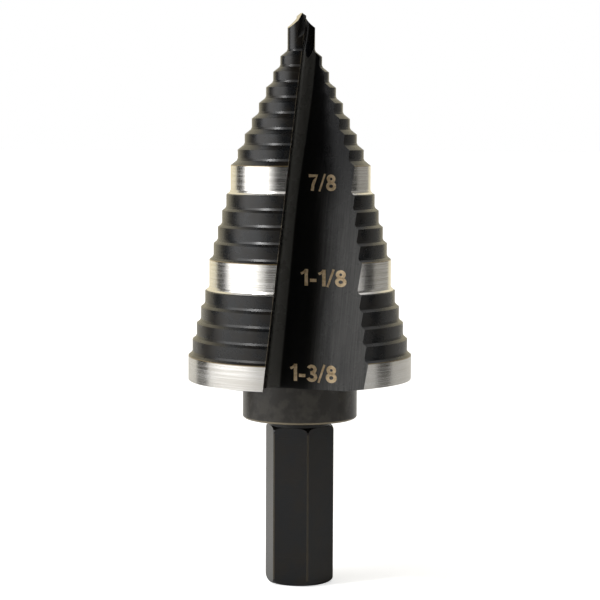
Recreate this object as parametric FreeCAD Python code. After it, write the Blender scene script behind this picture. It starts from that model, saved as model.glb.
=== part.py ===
"""Two-flute step drill with a hexagonal shank, ground from one bar of tool steel.

The drill stands on the flat end of its shank. Its axis is +Z, towards the point, and the
middle of the shank's end face is the origin. One flute opens towards -Y.
"""
import FreeCAD, Part
import math
import os

from FreeCAD import Vector

# Shank: a hexagon for a three-jaw chuck, rounded over at both ends, and a short round neck
hexagon_sides = 6
shank_across_flats = 9.4
shank_corner_turned_off = 0.077
shank_turn = -16.5
shank_end_radius = 0.9
shank_top_radius = 0.65
shank_hexagon_length = 24.1
neck_below_flats = 0.05
neck_root_radius = 0.35

# Plain round collar between the shank and the steps
collar_diameter = 17.4
collar_length = 5.55
collar_edge_chamfer = 0.25
collar_base = 25.2

# Steps, named by the hole that each one cuts. The three marked steps are taller, and cut
# holes of 7/8, 1-1/8 and 1-3/8 inch.
pilot_diameter = 5.2
pilot_wall_length = 5.65
first_step_diameter = 7.35
low_mark_diameter = 22.225
middle_mark_diameter = 28.575
high_mark_diameter = 34.925
steps_below_low_mark = 7
steps_between_marks = 4
small_pitch = 2.33
large_pitch = 2.45
mark_pitch = 4.7
last_step_length = 4.15
ramp_angle = 38.5
step_root_chamfer = 0.2

# Underside of the largest step, bevelled down towards the collar
underside_bevel_width = 2.4
underside_bevel_drop = 0.45

# Relief: each land is ground round an axis that lies off centre, towards its cutting edge
relief_offset = 0.75
relief_direction = -17.0
land_split_direction = 20.0

# Flutes: a straight groove with a radial rake wall, a rounded root and a sloping heel wall,
# which leans in and across so that it runs from the collar out through the point. Across, depth
# and root radius are those at the collar, and the groove would shrink to nothing far above.
flute_root_radius = 1.6
flute_root_across = -3.66
flute_root_depth = 9.57
flute_rake_angle = 1.0
flute_heel_slope = 24.0
flute_lean_in = 9.99
flute_lean_across = 5.43
flute_vanishing_length = 116.0
flute_mouth_reach = 49.0
flute_cutter_below = 9.0
flute_cutter_above = 5.5

# Point: two flanks that meet in a short chisel edge, which a gash thins on each side
flank_slope = 45.5
chisel_direction = 17.0
gash_direction = -17.0
gash_across = 0.28
gash_width = 1.4
gash_angle = 31.0
gash_chisel_gap = 0.3

full_turn = 360.0
half_turn = 180.0
side_angle = full_turn / hexagon_sides
shank_sharp_radius = shank_across_flats / 2 / math.cos(math.radians(side_angle / 2))
shank_corner_radius = shank_sharp_radius - shank_corner_turned_off
neck_radius = shank_across_flats / 2 - neck_below_flats
collar_top = collar_base + collar_length
steps_base = collar_top + underside_bevel_drop
flute_count = 2
cutter_margin = 1.0


def rounded_wire(corners, radii):
    """Closed wire through the corners, with an arc at each corner whose radius is given by its number."""
    ends = []
    edges = []
    for i, corner in enumerate(corners):
        back = (corners[i - 1] - corner).normalize()
        ahead = (corners[(i + 1) % len(corners)] - corner).normalize()
        radius = radii.get(i, 0.0)
        half = back.getAngle(ahead) / 2
        reach = radius / math.tan(half)
        start, end = corner + back * reach, corner + ahead * reach
        ends.append((start, end))
        if radius > 0:
            inward = (back + ahead).normalize()
            middle = corner + inward * (radius / math.sin(half) - radius)
            edges.append(Part.Arc(start, middle, end).toShape())
    for i in range(len(corners)):
        edges.append(Part.LineSegment(ends[i - 1][1], ends[i][0]).toShape())
    return Part.Wire(Part.sortEdges(edges)[0])


def turned(points, radii=None):
    """Solid of revolution about the Z axis from (radius, height) points, some of them rounded."""
    corners = [Vector(x, 0, z) for x, z in points]
    face = Part.Face(rounded_wire(corners, radii or {}))
    return face.revolve(Vector(0, 0, 0), Vector(0, 0, 1), full_turn)


def round_z(shape, degrees):
    """Copy of a shape turned about the Z axis."""
    copy = shape.copy()
    copy.rotate(Vector(0, 0, 0), Vector(0, 0, 1), degrees)
    return copy


def from_front(degrees):
    """Unit vector at an angle from the front, -Y, positive towards +X."""
    angle = math.radians(degrees)
    return Vector(math.sin(angle), -math.cos(angle), 0)


def between(larger, smaller, count):
    """Diameters in equal falls that lie between two others."""
    fall = (larger - smaller) / (count + 1)
    return [larger - fall * (i + 1) for i in range(count)]


def step_list():
    """(diameter, height of its wall's lower edge) of each step from the underside up, and the top."""
    large = between(high_mark_diameter, middle_mark_diameter, steps_between_marks)
    middle = between(middle_mark_diameter, low_mark_diameter, steps_between_marks)
    small = between(low_mark_diameter, first_step_diameter, steps_below_low_mark - 1)
    rises = [(high_mark_diameter, last_step_length)]
    rises += [(diameter, large_pitch) for diameter in large]
    rises += [(middle_mark_diameter, mark_pitch)]
    rises += [(diameter, large_pitch) for diameter in middle]
    rises += [(low_mark_diameter, mark_pitch)]
    rises += [(diameter, small_pitch) for diameter in small + [first_step_diameter]]
    rises += [(pilot_diameter, pilot_wall_length)]
    steps = []
    height = steps_base
    for diameter, rise in rises:
        steps.append((diameter, height))
        height += rise
    return steps, height


def land_blank():
    """Full round of steps, from the underside to the top of the pilot, smaller by the relief offset."""
    steps, top = step_list()
    walls = [(diameter / 2 - relief_offset, height) for diameter, height in steps]
    larger = walls[0][0]
    points = [(0, collar_top), (larger - underside_bevel_width, collar_top), walls[0]]
    slope = math.radians(ramp_angle)
    root_out = step_root_chamfer * math.cos(slope)
    root_down = step_root_chamfer * math.sin(slope)
    for radius, height in walls[1:]:
        drop = (larger - radius) * math.tan(slope)
        points.append((larger, height - drop))
        points.append((radius + root_out, height - root_down))
        points.append((radius, height + step_root_chamfer))
        larger = radius
    points += [(larger, top), (0, top)]
    return turned(points), top


def half_space(direction, height):
    """Half of a large block, on the left of the line that runs out towards the direction."""
    reach = high_mark_diameter
    block = Part.makeBox(reach, 2 * reach, height, Vector(-reach, -reach, 0))
    return round_z(block, direction)


def lands():
    """The two lands, each relieved behind its own cutting edge, as one solid."""
    blank, top = land_blank()
    blank.translate(from_front(relief_direction) * relief_offset)
    front_left = blank.common(half_space(land_split_direction, top + cutter_margin))
    return front_left.fuse(round_z(front_left, half_turn)).removeSplitter(), top


def flute_outline(height):
    """Closed outline of the groove at a height on its path, with the centre of its root on the Z axis."""
    size = 1 - height / flute_vanishing_length
    rake = from_front(-flute_rake_angle)
    heel = from_front(90 - flute_heel_slope)
    corner_distance = flute_root_radius / math.sin(rake.getAngle(heel) / 2)
    corner = Vector(0, 0, height) - (rake + heel).normalize() * corner_distance * size
    reach = flute_mouth_reach * size
    corners = [corner + rake * reach, corner, corner + heel * reach, corner + (rake + heel) * reach]
    return rounded_wire(corners, {1: flute_root_radius * size})


def flute_cutter(top):
    """Groove towards -Y, whose straight path leans in and across on its way up to the point."""
    start = flute_outline(-flute_cutter_below)
    end = flute_outline(top - collar_top + flute_cutter_above)
    groove = Part.makeLoft([start, end], True, True)
    groove.rotate(Vector(0, 0, 0), Vector(1, 0, 0), -flute_lean_in)
    groove.rotate(Vector(0, 0, 0), Vector(0, 1, 0), flute_lean_across)
    groove.translate(Vector(flute_root_across, -flute_root_depth, collar_top))
    return groove


def flank_cutter(top):
    """Waste over one flank of the point, on the left of the chisel edge."""
    reach = pilot_diameter
    drop = reach * math.tan(math.radians(flank_slope))
    ceiling = top + cutter_margin
    outline = [(0, top), (-reach, top - drop), (-reach, ceiling), (0, ceiling), (0, top)]
    wire = Part.makePolygon([Vector(x, -reach, z) for x, z in outline])
    prism = Part.Face(wire).extrude(Vector(0, 2 * reach, 0))
    return round_z(prism, chisel_direction)


def gash_cutter(top):
    """Notch beside the chisel edge, whose floor slopes from the chisel down and outwards."""
    depth = pilot_diameter
    length = 2 * pilot_wall_length
    block = Part.makeBox(gash_width, depth, length, Vector(gash_across, -depth, -length))
    block.rotate(Vector(0, 0, 0), Vector(1, 0, 0), -gash_angle)
    block.translate(Vector(0, -gash_chisel_gap, top))
    return round_z(block, gash_direction)


def shank():
    """Hexagon cut from a round whose ends are rounded over, with the round neck above it."""
    neck_top = collar_base - neck_root_radius
    blank = turned([(0, 0), (shank_corner_radius, 0), (shank_corner_radius, shank_hexagon_length),
                    (neck_radius, shank_hexagon_length), (neck_radius, neck_top), (0, neck_top)],
                   {1: shank_end_radius, 2: shank_top_radius})
    first_corner = shank_turn + side_angle / 2
    turns = [first_corner + side_angle * i for i in range(hexagon_sides + 1)]
    corners = [from_front(turn) * shank_sharp_radius for turn in turns]
    hexagon = Part.Face(Part.makePolygon(corners)).extrude(Vector(0, 0, neck_top))
    return blank.common(hexagon)


def collar():
    """Round collar, with the neck's rounded root under it."""
    radius = collar_diameter / 2
    neck_top = collar_base - 2 * neck_root_radius
    points = [(0, neck_top), (neck_radius, neck_top), (neck_radius, collar_base),
              (radius - collar_edge_chamfer, collar_base), (radius, collar_base + collar_edge_chamfer),
              (radius, collar_top), (0, collar_top)]
    return turned(points, {2: neck_root_radius})


def step_drill():
    """The whole drill."""
    body, top = lands()
    cutters = [flute_cutter(top), flank_cutter(top), gash_cutter(top)]
    for i in range(flute_count):
        for cutter in cutters:
            body = body.cut(round_z(cutter, half_turn * i))
    return body.fuse([collar(), shank()]).removeSplitter()


os.makedirs("parts", exist_ok=True)
drill = step_drill()
print("solids", len(drill.Solids), "valid", drill.isValid(), "volume", round(drill.Volume, 1))
box = drill.optimalBoundingBox()
print("size", round(box.XLength, 2), round(box.YLength, 2), round(box.ZLength, 2), "faces", len(drill.Faces))
drill.exportStep("parts/step_drill.step")
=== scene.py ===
"""A black oxide step drill that stands on its shank, on a pale floor in soft studio light."""
import math
from types import SimpleNamespace

import bpy
from mathutils import Matrix, Vector
from mathutils.bvhtree import BVHTree


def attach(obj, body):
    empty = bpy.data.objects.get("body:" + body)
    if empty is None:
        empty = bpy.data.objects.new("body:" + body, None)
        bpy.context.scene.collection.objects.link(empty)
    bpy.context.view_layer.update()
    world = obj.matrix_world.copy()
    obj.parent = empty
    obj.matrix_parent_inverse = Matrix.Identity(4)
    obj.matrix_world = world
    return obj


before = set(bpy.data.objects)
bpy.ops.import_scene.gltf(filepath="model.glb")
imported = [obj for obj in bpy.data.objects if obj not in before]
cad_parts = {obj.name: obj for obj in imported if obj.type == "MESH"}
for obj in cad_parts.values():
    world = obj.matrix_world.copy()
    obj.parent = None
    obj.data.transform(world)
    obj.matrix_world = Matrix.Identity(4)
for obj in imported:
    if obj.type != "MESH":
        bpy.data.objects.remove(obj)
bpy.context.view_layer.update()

MM = 0.001

# The drill, in mm: radii, and heights above the end of its shank
SHANK_CORNER = 5.35
SHANK_TOP = 24.0
COLLAR_RADIUS = 8.7
COLLAR_BASE = 25.2
COLLAR_TOP = 30.75
POINT_BASE = 82.0

# The three marked steps: lower and upper edge of each ground face, and its radius, in mm. Behind
# the cutting edge, relief takes a little off the radius.
MARKED_STEPS = ((31.2, 34.85, 17.46), (44.78, 49.36, 14.29), (59.28, 63.52, 11.11))
MOST_RELIEF = 2.3

# The flutes, in mm: the centre of the root's arc at the collar's top, its shift for each mm of
# height, and the root's radius, which shrinks to nothing over the vanishing length.
ROOT_ACROSS = -3.66
ROOT_RADIUS = 1.6
VANISHING_LENGTH = 114.0
FLUTE_ACROSS = 0.095
FLUTE_IN = 0.177

# A radius that parts the flutes' roots from the lands, in mm: it falls evenly with the height
WEB_RADIUS = 19.39
WEB_TAPER = -0.206
WEB_LEAST = 2.45

# The size numerals on the heel wall: text, left and right end, lower and upper edge, in mm
SIZE_MARKS = {
    "size_mark_7_8": ("7/8", 1.1, 5.3, 59.8, 62.25),
    "size_mark_1_1_8": ("1-1/8", -0.1, 6.85, 45.8, 48.25),
    "size_mark_1_3_8": ("1-3/8", -1.6, 5.45, 31.85, 34.35),
}
MARK_LIFT = 0.012

# Widths over which one finish passes into the next, in mm
SOFT = 0.1
SHARP = 0.02

# A face is round where its normal is this near to straight outwards, as a cosine
ROUND_FACE = (0.86, 0.93)

# Wear at the cutting edges: the bare line's place across, in mm, the heights between which it fades
# and how strong it is there, and its patches, from noise level to strength
WORN_EDGE = (-0.16, 0.1)
WORN_EDGE_FADE = (50.0, 72.0, 1.0, 0.12)
WORN_PATCHES = (0.4, 0.56, 0.2, 1.0)

# Wear on the shank's corners, apart from their ends, and on the collar's lower rim, in mm
WORN_CORNER = 0.03
UNWORN_END = 0.8
CORNER_WEAR = 0.07
COLLAR_RIM_HEIGHT = 0.3
COLLAR_RIM_WIDTH = 0.4
COLLAR_RIM_WEAR = 0.4

# Straw tint that grinding leaves on each marked step's upper rim, in mm
TINTED_BELOW = 0.1
TINTED_ABOVE = 0.06
TINT_STRENGTH = 0.8

# The flanks of the point, by how far their normals face up: least, most and soft margin
FLANK_UPWARD = (0.6, 0.8, 0.04)

# The heel wall gets a painted grey reflection from a line that moves in with the height, and painted
# shade near the point: heights, and places across the flute from the centre of its root, in mm
HEEL_START = (40.0, 78.0, 4.6, 1.9)
HEEL_FADE = (-1.4, 1.8)
HEEL_LIGHTENS = (68.0, 50.0)

# The painted reflection strip along the root and the painted shade beside it, as parts of the
# root's radius. The strip widens with the height, in mm.
STRIP_START = (-0.95, -0.7)
STRIP_END = (55.0, 80.0, 0.4, 1.3)
STRIP_FADE = (-0.15, 0.15)
PAINTED_SHADE_FADE = (-0.15, 0.5)

# Grind lines for each mm along X, Y and Z, and how deep they seem
GRIND_AROUND = (0.1, 0.1, 9.0)
GRIND_ALONG = (6.0, 6.0, 0.1)
GRIND_DEPTH = 0.01

# Roughness, alone or as the smoother and the rougher
ROUGH_OXIDE = (0.24, 0.32)
ROUGH_TURNED = 0.19
# Roughness under the root's painted shade
ROUGH_PAINTED_SHADE = 0.5
ROUGH_STEEL = (0.16, 0.26)

# Colours, alone or as the darker and the lighter one
OXIDE_BLUE = (0.0042, 0.005, 0.0062, 1)
OXIDE_BROWN = (0.0085, 0.0064, 0.0042, 1)
OXIDE_SCRATCH = (0.013, 0.0122, 0.0105, 1)
COLLAR_OXIDE = ((0.034, 0.03, 0.025, 1), (0.062, 0.056, 0.046, 1))
# The heel wall's painted shade, near the point, and its painted grey reflection, lower down
HEEL_PAINTED_SHADE = ((0.007, 0.007, 0.008, 1), (0.015, 0.015, 0.016, 1))
HEEL_PAINTED_REFLECTION = ((0.04, 0.04, 0.039, 1), (0.09, 0.088, 0.084, 1))
# Painted reflection along the flute's root, and the painted shade beside it
STRIP_PAINTED_REFLECTION = (0.095, 0.093, 0.084, 1)
ROOT_PAINTED_SHADE = (0.0025, 0.0022, 0.002, 1)
GROUND_STEEL = ((0.60, 0.575, 0.53, 1), (0.76, 0.745, 0.72, 1))
POINT_STEEL = (0.42, 0.37, 0.3, 1)
STRAW_TINT = (0.22, 0.155, 0.07, 1)
WORN_STEEL = (0.62, 0.52, 0.34, 1)
MARK_TAN = ((0.56, 0.40, 0.22, 1), (0.82, 0.63, 0.39, 1))
CLOTH_BLACK = (0.01, 0.01, 0.01, 1)
CARD_CREAM = (0.92, 0.84, 0.62, 1)
CARD_GREY = (0.9, 0.88, 0.82, 1)
FLOOR_WHITE = (0.86, 0.86, 0.86, 1)
WHITE = (1, 1, 1, 1)

# Camera: a long lens a little above the middle of the drill, looking slightly down
SENSOR_WIDTH = 36.0
IMAGE_SIDE = 600
FOCAL_PIXELS = 1970
CAMERA_DISTANCE = 298.0
CAMERA_HEIGHT = 68.8
CAMERA_ACROSS = -0.04
CAMERA_DOWN = 4.93
CAMERA_ROLL = 0.24
CAMERA_RANGE = (0.01, 20.0)

# Screens round the drill, which its polished faces reflect: material, start and end in degrees from
# the front, radius, lower and upper edge in metres. One that hangs clear of the floor casts no
# shadow.
SCREENS = {
    "flag_front": ("dark_cloth", -42, 68, 0.42, 0.0, 0.5),
    "flag_heel": ("dark_cloth", -66, -42, 0.42, 0.21, 0.5),
    "flag_left": ("dark_cloth", -127, -104, 0.24, 0.0, 0.4),
    "flag_right": ("dark_cloth", 82, 103, 0.24, 0.0, 0.4),
    "card_left": ("cream_card", -172, -130, 0.5, 0.0, 0.5),
    "card_right": ("cream_card", 148, 170, 0.5, 0.0, 0.5),
    "card_grey": ("grey_card", 102, 148, 0.5, 0.0, 0.5),
}
SCREEN_FACE_DEGREES = 5
TOP_FLAG_HEIGHT = 0.55
TOP_FLAG_RADIUS = 0.3
TOP_FLAG_CORNERS = 24
CREAM_GLOW = 1.15
GREY_GLOW = 0.4

# Lights: degrees from the front, distance, height, width and length in metres, and power in watts
SOFTBOXES = {
    "softbox_left": (-76, 0.6, 0.2, 0.58, 0.6, 2.3),
    "softbox_right": (76, 0.6, 0.2, 0.12, 0.6, 0.15),
    "softbox_high": (-64, 0.5, 0.5, 0.05, 0.05, 1.3),
}
LIGHT_AIM = 0.05
ROOM_LIGHT = 0.6
BACKDROP_LIGHT = 1.0
FLOOR_SIDE = 6.0
FLOOR_GLOW = 0.62


class Graph:
    """A material's node tree, built by short calls that return sockets."""

    def __init__(self, tree):
        self.tree = tree
        tree.nodes.clear()

    def node(self, kind, settings=None, **inputs):
        """New node; an input is named by its label, or as i and its number."""
        node = self.tree.nodes.new("ShaderNode" + kind)
        for name, value in (settings or {}).items():
            setattr(node, name, value)
        for name, value in inputs.items():
            numbered = name[0] == "i" and name[1:].isdigit()
            key = int(name[1:]) if numbered else name.replace("_", " ")
            self.put(node.inputs[key], value)
        return node

    def put(self, socket, value):
        if isinstance(value, bpy.types.NodeSocket):
            self.tree.links.new(value, socket)
        else:
            socket.default_value = value

    def math(self, operation, a, b=0.0, c=0.0):
        return self.node("Math", {"operation": operation}, i0=a, i1=b, i2=c).outputs[0]

    def times(self, *values):
        product = values[0]
        for value in values[1:]:
            product = self.math("MULTIPLY", product, value)
        return product

    def most(self, a, b):
        return self.math("MAXIMUM", a, b)

    def vector(self, operation, a, b=(0.0, 0.0, 0.0)):
        return self.node("VectorMath", {"operation": operation}, i0=a, i1=b).outputs["Vector"]

    def measure(self, operation, a, b=(0.0, 0.0, 0.0)):
        """Number that a vector operation gives, such as a length."""
        return self.node("VectorMath", {"operation": operation}, i0=a, i1=b).outputs["Value"]

    def parts(self, vector):
        return self.node("SeparateXYZ", None, Vector=vector).outputs

    def ramp(self, value, low, high, to_low=0.0, to_high=1.0):
        """Smooth step from to_low to to_high as the value passes from low to high."""
        settings = {"interpolation_type": "SMOOTHSTEP"}
        inputs = {"Value": value, "From_Min": low, "From_Max": high, "To_Min": to_low, "To_Max": to_high}
        return self.node("MapRange", settings, **inputs).outputs["Result"]

    def between(self, value, low, high, soft):
        """1 where the value lies between low and high, falling to 0 over the soft margin."""
        rise = self.ramp(value, low - soft, low + soft)
        fall = self.ramp(value, high - soft, high + soft, 1.0, 0.0)
        return self.times(rise, fall)

    def mix(self, factor, a, b):
        """Colour between a and b."""
        node = self.node("Mix", {"data_type": "RGBA"}, i0=factor, i6=a, i7=b)
        return node.outputs[2]

    def blend(self, factor, a, b):
        """Number between a and b."""
        node = self.node("Mix", {"data_type": "FLOAT"}, i0=factor, i2=a, i3=b)
        return node.outputs[0]

    def choose(self, factor, a, b):
        """Vector between a and b."""
        node = self.node("Mix", {"data_type": "VECTOR"}, i0=factor, i4=a, i5=b)
        return node.outputs[1]

    def noise(self, vector, scale, detail, roughness):
        inputs = {"Vector": vector, "Scale": scale, "Detail": detail, "Roughness": roughness}
        return self.node("TexNoise", None, **inputs).outputs["Fac"]

    def output(self, shader):
        self.node("OutputMaterial", None, Surface=shader.outputs[0])


def new_material(name):
    material = bpy.data.materials.new(name)
    material.use_nodes = True
    return material, Graph(material.node_tree)


def places_on_drill(g):
    """Where a point lies on the drill, in mm, and masks for its round faces and its flutes."""
    at = SimpleNamespace()
    at.place = g.vector("MULTIPLY", g.node("TexCoord").outputs["Object"], (1 / MM, 1 / MM, 1 / MM))
    x, y, at.z = g.parts(at.place)
    normal = g.node("NewGeometry").outputs["Normal"]
    at.upward = g.parts(normal)[2]
    level = (1.0, 1.0, 0.0)
    flat_place = g.vector("MULTIPLY", at.place, level)
    at.radius = g.measure("LENGTH", flat_place)
    facing = g.vector("NORMALIZE", g.vector("MULTIPLY", normal, level))
    outward = g.measure("DOT_PRODUCT", g.vector("NORMALIZE", flat_place), facing)
    at.above_collar = g.ramp(at.z, COLLAR_TOP, COLLAR_TOP + SOFT / 2)

    # The hollow root of a flute faces outwards too, but lies well inside the lands.
    web = g.most(g.math("MULTIPLY_ADD", at.z, WEB_TAPER, WEB_RADIUS), WEB_LEAST)
    on_land = g.ramp(g.math("SUBTRACT", at.radius, web), -SOFT, SOFT)
    on_land = g.most(on_land, g.math("SUBTRACT", 1.0, at.above_collar))
    at.round_face = g.times(g.ramp(outward, *ROUND_FACE), on_land)
    at.in_flute = g.times(g.math("SUBTRACT", 1.0, at.round_face), at.above_collar)

    # Place across the flute, from the centre of its root towards the heel, alike in both flutes
    at.side = g.times(g.math("SIGN", y), -1.0)
    rise = g.math("SUBTRACT", at.z, COLLAR_TOP)
    centre = g.math("MULTIPLY_ADD", rise, FLUTE_ACROSS, ROOT_ACROSS)
    at.across = g.math("SUBTRACT", g.times(x, at.side), centre)
    at.root = g.math("MULTIPLY_ADD", rise, -ROOT_RADIUS / VANISHING_LENGTH, ROOT_RADIUS)
    return at


def grind_lines(g, at):
    """Noise in fine lines that run round the steps, and along the flutes."""
    around = g.vector("MULTIPLY", at.place, GRIND_AROUND)
    lean_across = g.times(at.side, -FLUTE_ACROSS)
    lean_in = g.times(at.side, -FLUTE_IN)
    lean = g.node("CombineXYZ", None, X=lean_across, Y=lean_in, Z=0.0).outputs[0]
    drift = g.node("VectorMath", {"operation": "SCALE"}, i0=lean, Scale=at.z).outputs[0]
    along = g.vector("MULTIPLY", g.vector("ADD", at.place, drift), GRIND_ALONG)
    return g.noise(g.choose(at.round_face, along, around), scale=1.0, detail=6.0, roughness=0.6)


def ground_faces(g, at):
    """Masks for the marked steps' faces, their tinted upper rims and the flanks of the point."""
    marks = 0.0
    rims = 0.0
    for low, high, mark_radius in MARKED_STEPS:
        inner = mark_radius - MOST_RELIEF
        on_step = g.times(g.ramp(at.radius, inner, inner + SOFT), at.round_face)
        on_rim = g.between(at.z, high - TINTED_BELOW, high + TINTED_ABOVE, SOFT / 2)
        marks = g.most(marks, g.times(g.between(at.z, low, high, SHARP), on_step))
        rims = g.most(rims, g.times(on_rim, on_step))
    at_point = g.ramp(at.z, POINT_BASE, POINT_BASE + SOFT)
    flanks = g.times(at_point, g.between(at.upward, *FLANK_UPWARD))
    return marks, rims, flanks


def worn_edges(g, at):
    """Mask for a broken bare line on each cutting edge, the shank's corners and the collar's rim."""
    from_edge = g.math("ADD", at.across, at.root)
    worn = g.times(g.between(from_edge, *WORN_EDGE, SOFT / 2), at.round_face)
    worn = g.times(worn, g.ramp(at.z, COLLAR_TOP, COLLAR_TOP + SOFT))
    patchy = g.ramp(g.noise(at.place, scale=0.9, detail=5.0, roughness=0.7), *WORN_PATCHES)
    worn = g.times(worn, g.times(patchy, g.ramp(at.z, *WORN_EDGE_FADE)))
    corners = g.ramp(at.radius, SHANK_CORNER - WORN_CORNER, SHANK_CORNER, 0.0, CORNER_WEAR)
    corners = g.times(corners, g.between(at.z, UNWORN_END, SHANK_TOP - UNWORN_END, 2 * SOFT))
    rim_start = COLLAR_RADIUS - COLLAR_RIM_WIDTH
    rim = g.ramp(at.radius, rim_start, rim_start + COLLAR_RIM_WIDTH / 2, 0.0, COLLAR_RIM_WEAR)
    rim = g.times(g.between(at.z, COLLAR_BASE, COLLAR_BASE + COLLAR_RIM_HEIGHT, SOFT / 2), rim)
    return g.most(g.most(worn, corners), rim)


def oxide_colour(g, at, grain, cloud):
    """Bluish to brown, browner on the collar, with painted reflection and shade on the heel wall, and a
    painted reflection strip along the root with painted shade beside it.
    """
    oxide = g.mix(g.ramp(cloud, 0.38, 0.62), OXIDE_BLUE, OXIDE_BROWN)
    oxide = g.mix(g.ramp(grain, 0.5, 0.8), oxide, OXIDE_SCRATCH)
    # Painted reflection on the heel wall, grey lower down, with painted shade near the point
    from_start = g.math("SUBTRACT", at.across, g.ramp(at.z, *HEEL_START))
    heel = g.times(g.ramp(from_start, *HEEL_FADE), at.in_flute)
    heel_shade_paint = g.mix(g.ramp(grain, 0.3, 0.7), *HEEL_PAINTED_SHADE)
    heel_reflection_paint = g.mix(g.ramp(grain, 0.3, 0.7), *HEEL_PAINTED_REFLECTION)
    oxide = g.mix(heel, oxide, g.mix(g.ramp(at.z, *HEEL_LIGHTENS), heel_shade_paint, heel_reflection_paint))

    # Painted reflection strip along the root, and painted shade beyond it
    root_part = g.math("DIVIDE", at.across, at.root)
    past_strip = g.math("SUBTRACT", root_part, g.ramp(at.z, *STRIP_END))
    strip = g.times(g.ramp(past_strip, *STRIP_FADE, 1.0, 0.0), g.ramp(root_part, *STRIP_START))
    oxide = g.mix(g.times(strip, at.in_flute), oxide, STRIP_PAINTED_REFLECTION)
    painted_shade = g.times(g.ramp(past_strip, *PAINTED_SHADE_FADE), at.in_flute, g.math("SUBTRACT", 1.0, heel))
    oxide = g.mix(painted_shade, oxide, ROOT_PAINTED_SHADE)

    on_collar = g.between(at.z, COLLAR_BASE, COLLAR_TOP, SOFT)
    return g.mix(on_collar, oxide, g.mix(g.ramp(cloud, 0.4, 0.6), *COLLAR_OXIDE)), painted_shade


def drill_steel():
    """Black oxide all over, apart from the marked steps and the point, which are ground bright."""
    material, g = new_material("black_oxide_steel")
    at = places_on_drill(g)
    grain = grind_lines(g, at)
    cloud = g.noise(at.place, scale=0.35, detail=5.0, roughness=0.6)
    speck = g.noise(at.place, scale=7.0, detail=3.0, roughness=0.6)
    marks, rims, flanks = ground_faces(g, at)
    bright = g.most(marks, flanks)
    worn = worn_edges(g, at)
    metal = g.most(bright, worn)
    oxide, painted_shade = oxide_colour(g, at, grain, cloud)

    steel = g.mix(g.ramp(grain, 0.35, 0.65), *GROUND_STEEL)
    steel = g.mix(flanks, steel, POINT_STEEL)
    colour = g.mix(bright, oxide, steel)
    colour = g.mix(g.times(rims, TINT_STRENGTH), colour, STRAW_TINT)
    colour = g.mix(worn, colour, WORN_STEEL)

    rough_oxide = g.blend(g.ramp(cloud, 0.3, 0.7), *ROUGH_OXIDE)
    rough_oxide = g.blend(g.ramp(at.z, COLLAR_TOP - SOFT, COLLAR_TOP), ROUGH_TURNED, rough_oxide)
    # Rougher under the root's painted shade
    rough_oxide = g.blend(painted_shade, rough_oxide, ROUGH_PAINTED_SHADE)
    rough_steel = g.blend(g.ramp(grain, 0.3, 0.7), *ROUGH_STEEL)
    rough = g.blend(metal, rough_oxide, rough_steel)

    height = g.math("MULTIPLY_ADD", speck, 0.15, grain)
    bump = g.node("Bump", None, Strength=0.3, Distance=GRIND_DEPTH * MM, Height=height)
    tangent = g.node("Tangent", {"direction_type": "RADIAL", "axis": "Z"})
    g.output(g.node("BsdfPrincipled", None, Base_Color=colour, Metallic=metal, Roughness=rough, IOR=1.4,
                    Anisotropic=0.4, Normal=bump.outputs[0], Tangent=tangent.outputs[0]))
    return material


def mark_paint():
    """The matte light tan that a laser leaves on the black oxide."""
    material, g = new_material("size_marks")
    place = g.node("TexCoord").outputs["Object"]
    patch = g.noise(place, scale=1.4 / MM, detail=4.0, roughness=0.6)
    colour = g.mix(g.ramp(patch, 0.35, 0.65), *MARK_TAN)
    g.output(g.node("BsdfPrincipled", None, Base_Color=colour, Roughness=0.6))
    return material


def pale_floor():
    """White floor that the camera sees as lighter than it lights the drill."""
    material, g = new_material("pale_floor")
    matte = g.node("BsdfPrincipled", None, Base_Color=FLOOR_WHITE, Roughness=0.8).outputs[0]
    glow = g.node("Emission", None, Color=WHITE, Strength=FLOOR_GLOW).outputs[0]
    lit = g.node("AddShader", None, i0=matte, i1=glow).outputs[0]
    seen = g.node("LightPath").outputs["Is Camera Ray"]
    g.output(g.node("MixShader", None, i0=seen, i1=matte, i2=lit))
    return material


def dark_cloth():
    material, g = new_material("dark_cloth")
    g.output(g.node("BsdfDiffuse", None, Color=CLOTH_BLACK))
    return material


def glowing_card(name, colour, strength):
    """Softly lit card, which tints what the edges of the drill reflect."""
    material, g = new_material(name)
    g.output(g.node("Emission", None, Color=colour, Strength=strength))
    return material


def add_object(name, data):
    made = bpy.data.objects.new(name, data)
    bpy.context.scene.collection.objects.link(made)
    return made


def mesh_object(name, points, faces, material):
    mesh = bpy.data.meshes.new(name)
    mesh.from_pydata(points, [], faces)
    mesh.materials.append(material)
    return add_object(name, mesh)


def from_front(degrees):
    """Level unit vector at an angle from the front, -Y, positive towards +X."""
    angle = math.radians(degrees)
    return Vector((math.sin(angle), -math.cos(angle), 0.0))


def arc(centre, radii, start, end, degrees_each=15):
    """Points of an arc, with angles in degrees from the right, counted anticlockwise."""
    count = round(abs(end - start) / degrees_each)
    turns = [math.radians(start + (end - start) * i / count) for i in range(count + 1)]
    return [(centre[0] + radii[0] * math.cos(turn), centre[1] + radii[1] * math.sin(turn)) for turn in turns]


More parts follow.
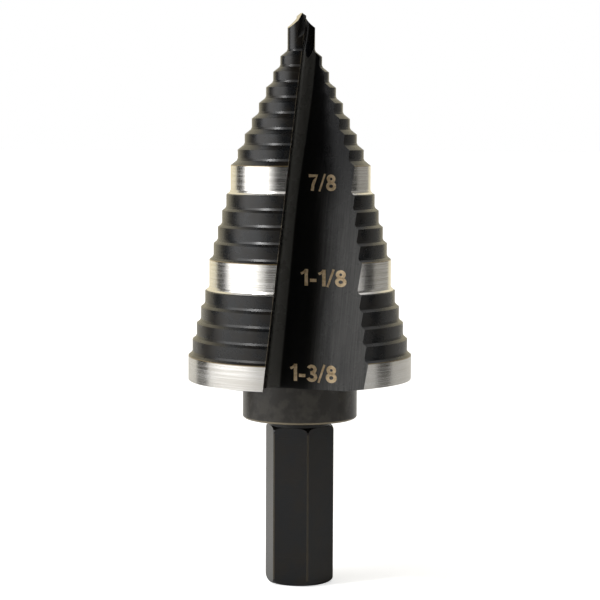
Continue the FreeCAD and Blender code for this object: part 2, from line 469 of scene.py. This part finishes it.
def glyph(letter):
    """Width of a letter as high as 1, and its strokes as (half width, points)."""
    bold = 0.095
    middling = 0.075
    thin = 0.06
    if letter == "1":
        beak = [(0.07, 0.72), (0.22, 0.8), (0.34, 0.93)]
        return 0.5, [(bold, [(0.36, 0.0), (0.36, 1.0)]), (middling, beak)]
    if letter == "3":
        upper = arc((0.32, 0.725), (0.19, 0.18), 160, -90)
        lower = arc((0.32, 0.29), (0.22, 0.2), 90, -160)
        return 0.65, [(bold, upper + lower)]
    if letter == "7":
        return 0.65, [(bold, [(0.04, 0.905), (0.56, 0.905), (0.4, 0.62), (0.3, 0.34), (0.26, 0.0)])]
    if letter == "8":
        upper = arc((0.33, 0.73), (0.175, 0.175), 0, 360)
        lower = arc((0.33, 0.29), (0.215, 0.2), 0, 360)
        return 0.66, [(bold, upper), (bold, lower)]
    if letter == "/":
        return 0.44, [(thin, [(0.05, -0.03), (0.39, 1.03)])]
    return 0.46, [(bold, [(0.06, 0.34), (0.42, 0.34)])]


def ribbon(points, half_width):
    """Left and right edge of a stroke of even width along the points."""
    edges = []
    for i, point in enumerate(points):
        here = Vector(point)
        before = Vector(points[max(i - 1, 0)])
        after = Vector(points[min(i + 1, len(points) - 1)])
        if points[0] == points[-1] and i in (0, len(points) - 1):
            before, after = Vector(points[-2]), Vector(points[1])
        run = (after - before).normalized()
        across = Vector((-run.y, run.x)) * half_width
        edges.append((here + across, here - across))
    return edges


def size_mark(name, text, left, right, low, high, surface, paint):
    """Numerals in bold strokes, laid on the heel wall of the front flute."""
    strokes = []
    cursor = 0.0
    for letter in text:
        width, lines = glyph(letter)
        strokes += [(half_width, [(cursor + u, v) for u, v in line]) for half_width, line in lines]
        cursor += width
    middle = Vector(((left + right) / 2, -CAMERA_DISTANCE, (low + high) / 2)) * MM
    hit, normal = surface.ray_cast(middle, Vector((0.0, 1.0, 0.0)))[:2]
    points = []
    faces = []
    for half_width, line in strokes:
        first = len(points)
        for pair in ribbon(line, half_width):
            for u, v in pair:
                spot = Vector((left + (right - left) * u / cursor, 0.0, low + (high - low) * v)) * MM
                spot.y = hit.y - ((spot.x - hit.x) * normal.x + (spot.z - hit.z) * normal.z) / normal.y
                points.append(spot + normal * MARK_LIFT * MM)
        for start in range(first, len(points) - 2, 2):
            faces.append((start, start + 1, start + 3, start + 2))
    piece = mesh_object(name, points, faces, paint)
    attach(piece, "root")


def size_marks(drill):
    paint = mark_paint()
    corners = [drill.matrix_world @ vertex.co for vertex in drill.data.vertices]
    surface = BVHTree.FromPolygons(corners, [tuple(face.vertices) for face in drill.data.polygons])
    for name, mark in SIZE_MARKS.items():
        size_mark(name, *mark, surface, paint)


def floor():
    signs = ((-1, -1), (1, -1), (1, 1), (-1, 1))
    points = [(FLOOR_SIDE * x, FLOOR_SIDE * y, 0) for x, y in signs]
    mesh_object("floor", points, [(0, 1, 2, 3)], pale_floor())


def screen(name, material, start, end, radius, base, top):
    """Curved screen that stands or hangs round the drill, and that the camera doesn't see."""
    count = round(abs(end - start) / SCREEN_FACE_DEGREES)
    points = []
    for i in range(count + 1):
        foot = from_front(start + (end - start) * i / count) * radius
        points += [foot + Vector((0, 0, base)), foot + Vector((0, 0, top))]
    faces = [(2 * i, 2 * i + 2, 2 * i + 3, 2 * i + 1) for i in range(count)]
    made = mesh_object(name, points, faces, material)
    made.visible_camera = False
    made.visible_shadow = base == 0.0
    made.visible_diffuse = base == 0.0


def top_flag(cloth):
    """Dark disc overhead, which only the ramps between the steps reflect."""
    spacing = 360 / TOP_FLAG_CORNERS
    height = Vector((0, 0, TOP_FLAG_HEIGHT))
    rim = [from_front(spacing * i) * TOP_FLAG_RADIUS + height for i in range(TOP_FLAG_CORNERS)]
    disc = mesh_object("flag_top", rim, [tuple(range(TOP_FLAG_CORNERS))], cloth)
    disc.visible_camera = False
    disc.visible_diffuse = False
    disc.visible_shadow = False


def softbox(name, azimuth, distance, height, width, tall, power):
    """Area light at an angle from the front, aimed at the middle of the drill."""
    light = bpy.data.lights.new(name, "AREA")
    light.shape = "RECTANGLE"
    light.size = width
    light.size_y = tall
    light.energy = power
    lamp = add_object(name, light)
    place = from_front(azimuth) * distance + Vector((0, 0, height))
    aim = Vector((0, 0, LIGHT_AIM)) - place
    lamp.matrix_world = Matrix.Translation(place) @ aim.to_track_quat("-Z", "Y").to_matrix().to_4x4()


def studio_world():
    """White backdrop, which lights the drill more softly than it is seen."""
    world = bpy.data.worlds.new("studio")
    world.use_nodes = True
    bpy.context.scene.world = world
    g = Graph(world.node_tree)
    rays = g.node("LightPath").outputs
    seen = g.most(g.most(rays["Is Camera Ray"], rays["Is Glossy Ray"]), rays["Is Transmission Ray"])
    soft = g.node("Background", None, Color=WHITE, Strength=ROOM_LIGHT).outputs[0]
    backdrop = g.node("Background", None, Color=WHITE, Strength=BACKDROP_LIGHT).outputs[0]
    both = g.node("MixShader", None, i0=seen, i1=soft, i2=backdrop)
    g.node("OutputWorld", None, Surface=both.outputs[0])


def camera():
    data = bpy.data.cameras.new("camera")
    data.sensor_width = SENSOR_WIDTH
    data.lens = data.sensor_width * FOCAL_PIXELS / IMAGE_SIDE
    data.clip_start, data.clip_end = CAMERA_RANGE
    view = add_object("camera", data)
    place = Matrix.Translation(Vector((CAMERA_ACROSS, -CAMERA_DISTANCE, CAMERA_HEIGHT)) * MM)
    tilt = Matrix.Rotation(math.radians(90 - CAMERA_DOWN), 4, "X")
    roll = Matrix.Rotation(math.radians(CAMERA_ROLL), 4, "Z")
    view.matrix_world = place @ tilt @ roll
    bpy.context.scene.camera = view


def studio():
    """Floor, screens, lights and backdrop."""
    floor()
    materials = {
        "dark_cloth": dark_cloth(),
        "cream_card": glowing_card("cream_card", CARD_CREAM, CREAM_GLOW),
        "grey_card": glowing_card("grey_card", CARD_GREY, GREY_GLOW),
    }
    for name, (material, *sizes) in SCREENS.items():
        screen(name, materials[material], *sizes)
    top_flag(materials["dark_cloth"])
    for name, sizes in SOFTBOXES.items():
        softbox(name, *sizes)
    studio_world()


camera()
studio()
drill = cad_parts["step_drill"]
drill.material_slots[0].material = drill_steel()
size_marks(drill)

bpy.context.scene.view_settings.view_transform = "Standard"
